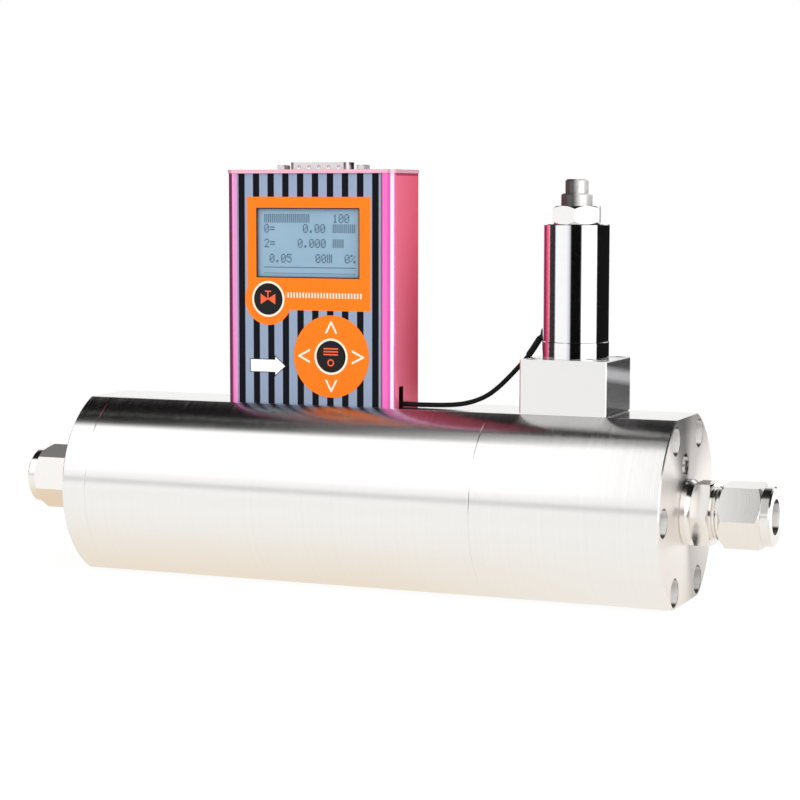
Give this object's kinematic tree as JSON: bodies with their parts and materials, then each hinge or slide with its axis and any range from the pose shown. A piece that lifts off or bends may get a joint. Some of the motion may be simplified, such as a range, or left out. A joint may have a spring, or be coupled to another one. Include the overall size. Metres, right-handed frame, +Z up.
{
  "type": "mass flow controller",
  "caption": "Thermal mass flow controller: a turned steel flow body with a flat base, a display head with keys and a plug, a solenoid valve on a square block and a tube fitting at each end.",
  "frame": {"origin": "centre of the four tapped base holes, in the plane of the base flat; the display head's middle is straight above it", "axes": "+X along the flow, from the inlet to the outlet; +Z up, away from the base flat; -Y is the side of the display"},
  "size_m": [0.3032, 0.075, 0.1591],
  "materials": {
    "turned_steel": "fine turned and polished",
    "fitting_steel": "polished",
    "screw_steel": "plain",
    "seal_rubber": "matt",
    "sintered_steel": "sintered",
    "inner_steel": "plain machined",
    "block_steel": "brushed",
    "magnet_steel": "ground",
    "spring_steel": "drawn wire",
    "copper_winding": "enamelled",
    "bobbin_plastic": "moulded",
    "housing_chrome": "mirror",
    "nut_steel": "polished",
    "lead_black": "extruded",
    "case_anodised": "anodised red",
    "foot_aluminium": "plain",
    "overlay_film": "printed film",
    "lcd_glass": "glossy",
    "board_green": "solder mask",
    "switch_black": "moulded",
    "key_white": "moulded",
    "standoff_brass": "plain",
    "plug_tin": "tinned",
    "pin_gold": "gold plated"
  },
  "bodies": {
    "controller": {"inlet_cap": "turned_steel", "inlet_cap_screws": "screw_steel", "main_body": "turned_steel", "outlet_body": "turned_steel", "outlet_body_screws": "screw_steel", "body_orings": "seal_rubber", "inlet_diffuser": "sintered_steel", "flow_element": "inner_steel", "passage_plug": "screw_steel", "inlet_fitting": "fitting_steel", "outlet_fitting": "fitting_steel", "inlet_nut": "fitting_steel", "outlet_nut": "fitting_steel", "front_ferrules": "fitting_steel", "back_ferrules": "fitting_steel", "fitting_orings": "seal_rubber", "sensor_block": "inner_steel", "sensor_tube": "inner_steel", "sensor_windings": "copper_winding", "sensor_cover": "inner_steel", "port_orings": "seal_rubber", "valve_block": "block_steel", "valve_block_screws": "screw_steel", "valve_seat": "inner_steel", "plunger_spring": "spring_steel", "core_tube": "inner_steel", "fixed_core": "magnet_steel", "coil_bobbin": "bobbin_plastic", "coil_winding": "copper_winding", "housing_base": "housing_chrome", "coil_housing": "housing_chrome", "housing_top": "housing_chrome", "lock_nut": "nut_steel", "lead_bush": "seal_rubber", "valve_lead": "lead_black", "case_shell": "case_anodised", "case_top": "case_anodised", "top_screws": "screw_steel", "case_feet": "foot_aluminium", "case_screws": "screw_steel", "front_overlay": "overlay_film", "lcd_panel": "lcd_glass", "display_board": "board_green", "key_switches": "switch_black", "main_board": "board_green", "board_standoffs": "standoff_brass", "plug_shell": "plug_tin", "plug_insulator": "switch_black", "plug_pins": "pin_gold", "jackposts": "plug_tin"},
    "plunger": {"plunger": "magnet_steel", "seat_pad": "seal_rubber"},
    "valve_key": {"valve_key": "key_white"},
    "ok_key": {"ok_key": "key_white"},
    "up_key": {"up_key": "key_white"},
    "down_key": {"down_key": "key_white"},
    "left_key": {"left_key": "key_white"},
    "right_key": {"right_key": "key_white"}
  },
  "joints": [
    {"name": "plunger_slide", "type": "slide", "parent": "controller", "child": "plunger", "axis": [0, 0, 1], "range_m": [0, 0.0006], "stiffness_N_per_m": 400, "springref_m": -0.001, "deforming": ["plunger_spring"]},
    {"name": "valve_key_press", "type": "slide", "parent": "controller", "child": "valve_key", "axis": [0, 1, 0], "range_m": [0, 0.00025], "stiffness_N_per_m": 1500},
    {"name": "ok_key_press", "type": "slide", "parent": "controller", "child": "ok_key", "axis": [0, 1, 0], "range_m": [0, 0.00025], "stiffness_N_per_m": 1500},
    {"name": "up_key_press", "type": "slide", "parent": "controller", "child": "up_key", "axis": [0, 1, 0], "range_m": [0, 0.00025], "stiffness_N_per_m": 1500},
    {"name": "down_key_press", "type": "slide", "parent": "controller", "child": "down_key", "axis": [0, 1, 0], "range_m": [0, 0.00025], "stiffness_N_per_m": 1500},
    {"name": "left_key_press", "type": "slide", "parent": "controller", "child": "left_key", "axis": [0, 1, 0], "range_m": [0, 0.00025], "stiffness_N_per_m": 1500},
    {"name": "right_key_press", "type": "slide", "parent": "controller", "child": "right_key", "axis": [0, 1, 0], "range_m": [0, 0.00025], "stiffness_N_per_m": 1500}
  ]
}
